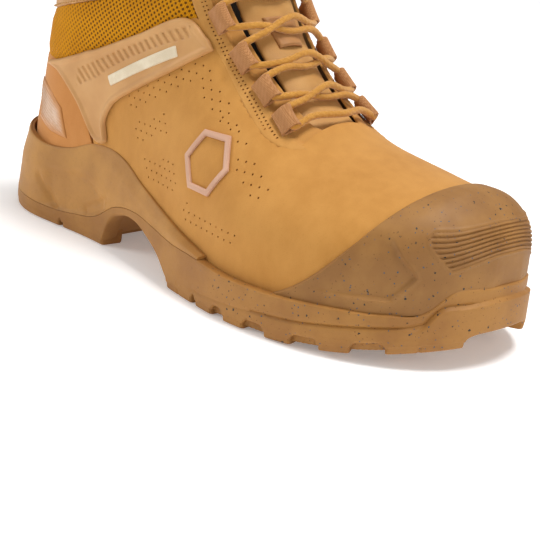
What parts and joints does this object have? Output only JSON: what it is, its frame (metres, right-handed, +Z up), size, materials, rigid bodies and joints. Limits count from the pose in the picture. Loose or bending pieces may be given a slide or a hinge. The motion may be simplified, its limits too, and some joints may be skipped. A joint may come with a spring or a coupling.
{
  "type": "safety work boot",
  "caption": "Mid-cut lace-up work boot for the right foot, with a rubber toe bumper, steel toe cap, webbing lace loops, moulded ankle overlay and lugged sole.",
  "frame": {"origin": "on the floor, under the middle of the boot", "axes": "+X to the toe, +Y to the inner (medial) side, +Z up"},
  "size_m": [0.305, 0.1191, 0.183],
  "materials": {
    "outsole_rubber": "matte moulded rubber with dark flecks",
    "bumper_rubber": "matte moulded rubber, ribbed at the toe tip",
    "cup_rubber": "smooth matte moulded rubber",
    "midsole_foam": "foam",
    "nubuck": "matte nubuck",
    "eyestay_nubuck": "matte nubuck with stitching",
    "counter_nubuck": "matte nubuck",
    "collar_leather": "soft padded leather",
    "tongue_leather": "smooth leather",
    "overlay_plastic": "moulded overlay with slanted ribs",
    "badge_plastic": "moulded ring",
    "reflective_film": "reflective film",
    "ankle_mesh": "knitted mesh",
    "webbing": "woven webbing",
    "hook_metal": "satin",
    "lace_cord": "round braided lace",
    "aglet_plastic": "clear brown tip",
    "steel": "painted pressed steel",
    "gasket_rubber": "soft rubber edge",
    "plate_fabric": "woven aramid plate",
    "board": "pressed fibre board",
    "stiffener": "thermoplastic sheet",
    "footbed_fabric": "fabric over foam",
    "pad_rubber": "gel",
    "lining_fabric": "brushed lining",
    "foam": "open foam"
  },
  "bodies": {
    "boot": {"outsole": "outsole_rubber", "heel_cup": "cup_rubber", "midsole": "midsole_foam", "toe_bumper": "bumper_rubber", "puncture_plate": "plate_fabric", "shank": "steel", "insole_board": "board", "footbed": "footbed_fabric", "heel_pad": "pad_rubber", "vamp": "nubuck", "quarter_lateral": "nubuck", "quarter_medial": "nubuck", "eyestay_lateral": "eyestay_nubuck", "eyestay_medial": "eyestay_nubuck", "ankle_overlay_lateral": "overlay_plastic", "ankle_overlay_medial": "overlay_plastic", "heel_counter": "counter_nubuck", "heel_reflectors": "reflective_film", "ankle_mesh_lateral": "ankle_mesh", "ankle_mesh_medial": "ankle_mesh", "collar_cuff": "collar_leather", "backstay": "counter_nubuck", "pull_loop_tab": "webbing", "lace_loops_lateral": "webbing", "lace_loops_medial": "webbing", "lace_hooks": "hook_metal", "lace": "lace_cord", "lace_knot": "lace_cord", "bow_loop_lateral": "lace_cord", "bow_loop_medial": "lace_cord", "lace_end_lateral": "lace_cord", "lace_end_medial": "lace_cord", "aglet_lateral": "aglet_plastic", "aglet_medial": "aglet_plastic", "tongue_lower": "tongue_leather", "lace_keeper": "tongue_leather", "side_badge": "badge_plastic", "overlay_strip": "reflective_film", "steel_toe_cap": "steel", "toe_cap_gasket": "gasket_rubber", "heel_stiffener": "stiffener", "lining_front": "lining_fabric", "lining_rear": "lining_fabric", "collar_foam": "foam"},
    "tongue_top": {"tongue_upper": "tongue_leather"},
    "pull_loop": {"pull_loop": "webbing"}
  },
  "joints": [
    {"name": "tongue_fold", "type": "hinge", "parent": "boot", "child": "tongue_top", "pos_m": [-0.009, 0.0026, 0.16], "axis": [0, 1, 0], "range_deg": [-10, 25]},
    {"name": "pull_loop_fold", "type": "hinge", "parent": "boot", "child": "pull_loop", "pos_m": [-0.1366, 0.0026, 0.146], "axis": [0, 1, 0], "range_deg": [-80, 0]}
  ]
}
